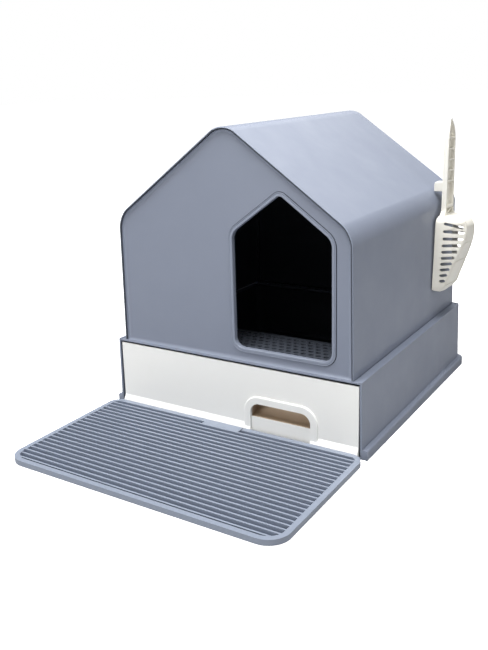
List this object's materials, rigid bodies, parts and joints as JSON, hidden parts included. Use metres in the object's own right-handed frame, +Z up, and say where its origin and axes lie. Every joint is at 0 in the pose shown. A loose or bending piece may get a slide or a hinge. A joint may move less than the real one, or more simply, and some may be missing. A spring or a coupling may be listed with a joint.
{
  "type": "drawer litter box",
  "caption": "House-shaped pet litter box: pitched hood with a five-sided doorway on a base with a pull-out litter drawer, a perforated step, a hanging scoop and a ribbed mat.",
  "frame": {"origin": "on the floor, under the middle of the base's body (its width and depth at the top edge)", "axes": "+X to the right as seen from the doorway, +Y to the back, +Z up; the drawer opens along -Y"},
  "size_m": [0.4695, 0.6946, 0.4485],
  "materials": {
    "slate_plastic": "satin",
    "deep_slate_plastic": "satin",
    "white_plastic": "semi-gloss",
    "cream_plastic": "semi-gloss",
    "beige_plastic": "satin",
    "mat_plastic": "satin",
    "pad_rubber": "matte",
    "zinc_steel": "satin"
  },
  "bodies": {
    "base": {"base_frame": "slate_plastic"},
    "drawer": {"drawer_tray": "deep_slate_plastic", "drawer_front": "white_plastic", "drawer_front_screws": "zinc_steel", "finger_cup": "beige_plastic"},
    "mat": {"mat_board": "mat_plastic", "mat_pads": "pad_rubber"},
    "step": {"step_deck": "deep_slate_plastic"},
    "hood": {"hood_shell": "slate_plastic", "front_gable": "slate_plastic", "rear_gable": "slate_plastic", "doorway_trim": "slate_plastic", "scoop_hook": "white_plastic", "hook_retainer": "white_plastic"},
    "scoop": {"scoop": "cream_plastic"}
  },
  "joints": [
    {"name": "drawer_slide", "type": "slide", "parent": "base", "child": "drawer", "axis": [0, -1, 0], "range_m": [0, 0.38]},
    {"name": "mat_slide", "type": "slide", "parent": "base", "child": "mat", "axis": [0, -1, 0], "range_m": [0, 0.38]},
    {"name": "step_lift", "type": "slide", "parent": "base", "child": "step", "axis": [0, 0, 1], "range_m": [0, 0.07]},
    {"name": "hood_lift", "type": "slide", "parent": "base", "child": "hood", "axis": [0, 0, 1], "range_m": [0, 0.2]},
    {"name": "scoop_off", "type": "slide", "parent": "hood", "child": "scoop", "axis": [0.9848, 0, 0.1736], "range_m": [0, 0.06]}
  ],
  "couplings": [
    {"joint": "mat_slide", "follows": "drawer_slide", "ratio": 1}
  ]
}
